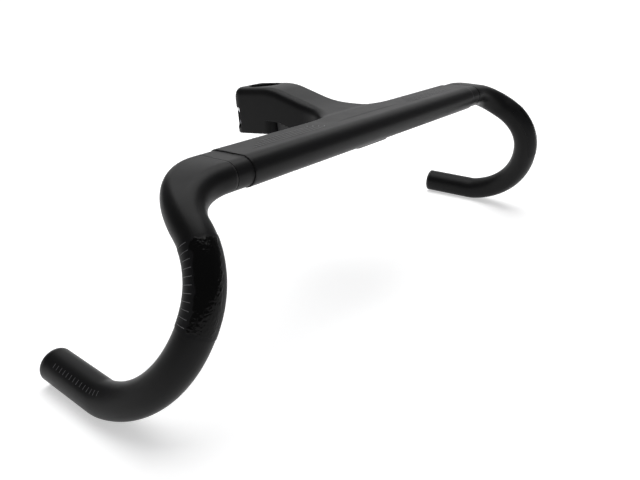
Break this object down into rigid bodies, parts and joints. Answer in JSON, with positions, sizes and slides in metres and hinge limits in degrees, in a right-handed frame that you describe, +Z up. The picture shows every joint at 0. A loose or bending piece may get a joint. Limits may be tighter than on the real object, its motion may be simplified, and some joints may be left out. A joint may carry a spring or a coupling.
{
  "type": "integrated drop handlebar and stem",
  "caption": "Hollow drop handlebar and stem in one, with a split steerer clamp, cross bolts, flared drops, lever grip films, hose cover and expanding end plugs.",
  "frame": {"origin": "on the floor under the middle of the bounding box, with the drops standing on the floor", "axes": "+X to the rider's left, along the bar; -Y forwards; +Z up"},
  "size_m": [0.5602, 0.2009, 0.1611],
  "materials": {
    "carbon": "satin black painted carbon",
    "drop_carbon": "satin black painted carbon",
    "grip_film": "glossy black crinkled anti-slip film",
    "bond_sleeve": "bare carbon",
    "cover_plastic": "moulded black plastic",
    "black_screw": "black oxide",
    "insert_brass": "turned",
    "bolt_steel": "bright stainless",
    "nut_steel": "dull steel",
    "plug_plastic": "moulded black plastic",
    "expander_plastic": "grey rubber-like plastic",
    "cone_alloy": "turned"
  },
  "bodies": {
    "cockpit": {"cockpit_shell": "carbon", "drop_right": "drop_carbon", "drop_left": "drop_carbon", "joint_sleeve_right": "bond_sleeve", "joint_sleeve_left": "bond_sleeve", "hose_cover": "cover_plastic", "cover_screw_front": "black_screw", "cover_screw_rear": "black_screw", "mount_insert_right": "insert_brass", "mount_insert_left": "insert_brass", "lever_grip_right": "grip_film", "lever_grip_left": "grip_film", "sleeve_nut_upper": "nut_steel", "sleeve_nut_lower": "nut_steel"},
    "upper_bolt_carrier": {"bolt_washer_upper": "bolt_steel"},
    "upper_bolt": {"clamp_bolt_upper": "bolt_steel"},
    "lower_bolt_carrier": {"bolt_washer_lower": "bolt_steel"},
    "lower_bolt": {"clamp_bolt_lower": "bolt_steel"},
    "end_plug_right": {"plug_cap_right": "plug_plastic", "plug_expander_right": "expander_plastic"},
    "plug_screw_body_right": {"plug_screw_right": "black_screw"},
    "plug_cone_body_right": {"plug_cone_right": "cone_alloy"},
    "end_plug_left": {"plug_cap_left": "plug_plastic", "plug_expander_left": "expander_plastic"},
    "plug_screw_body_left": {"plug_screw_left": "black_screw"},
    "plug_cone_body_left": {"plug_cone_left": "cone_alloy"}
  },
  "joints": [
    {"name": "upper_bolt_travel", "type": "slide", "parent": "cockpit", "child": "upper_bolt_carrier", "axis": [-1, 0, 0], "range_m": [0, 0.008]},
    {"name": "upper_bolt_turn", "type": "hinge", "parent": "upper_bolt_carrier", "child": "upper_bolt", "pos_m": [0, 0.09066, 0.13598], "axis": [-1, 0, 0], "range_deg": [0, 3600]},
    {"name": "lower_bolt_travel", "type": "slide", "parent": "cockpit", "child": "lower_bolt_carrier", "axis": [1, 0, 0], "range_m": [0, 0.008]},
    {"name": "lower_bolt_turn", "type": "hinge", "parent": "lower_bolt_carrier", "child": "lower_bolt", "pos_m": [0, 0.08917, 0.12387], "axis": [1, 0, 0], "range_deg": [0, 3600]},
    {"name": "plug_pull_right", "type": "slide", "parent": "cockpit", "child": "end_plug_right", "axis": [0.0764, 0.9971, 0.0069], "range_m": [0, 0.03]},
    {"name": "plug_screw_turn_right", "type": "hinge", "parent": "end_plug_right", "child": "plug_screw_body_right", "pos_m": [-0.26404, 0.03048, 0.01235], "axis": [0.0764, 0.9971, 0.0069], "range_deg": [0, 1800]},
    {"name": "plug_cone_slide_right", "type": "slide", "parent": "end_plug_right", "child": "plug_cone_body_right", "axis": [-0.0764, -0.9971, -0.0069], "range_m": [0, 0.0035]},
    {"name": "plug_pull_left", "type": "slide", "parent": "cockpit", "child": "end_plug_left", "axis": [-0.0764, 0.9971, 0.0069], "range_m": [0, 0.03]},
    {"name": "plug_screw_turn_left", "type": "hinge", "parent": "end_plug_left", "child": "plug_screw_body_left", "pos_m": [0.26404, 0.03048, 0.01235], "axis": [-0.0764, 0.9971, 0.0069], "range_deg": [0, 1800]},
    {"name": "plug_cone_slide_left", "type": "slide", "parent": "end_plug_left", "child": "plug_cone_body_left", "axis": [0.0764, -0.9971, -0.0069], "range_m": [0, 0.0035]}
  ],
  "couplings": [
    {"joint": "upper_bolt_turn", "follows": "upper_bolt_travel", "rad_per_m": 7854},
    {"joint": "lower_bolt_turn", "follows": "lower_bolt_travel", "rad_per_m": 7854},
    {"joint": "plug_screw_turn_right", "follows": "plug_cone_slide_right", "rad_per_m": 8976},
    {"joint": "plug_screw_turn_left", "follows": "plug_cone_slide_left", "rad_per_m": 8976}
  ]
}
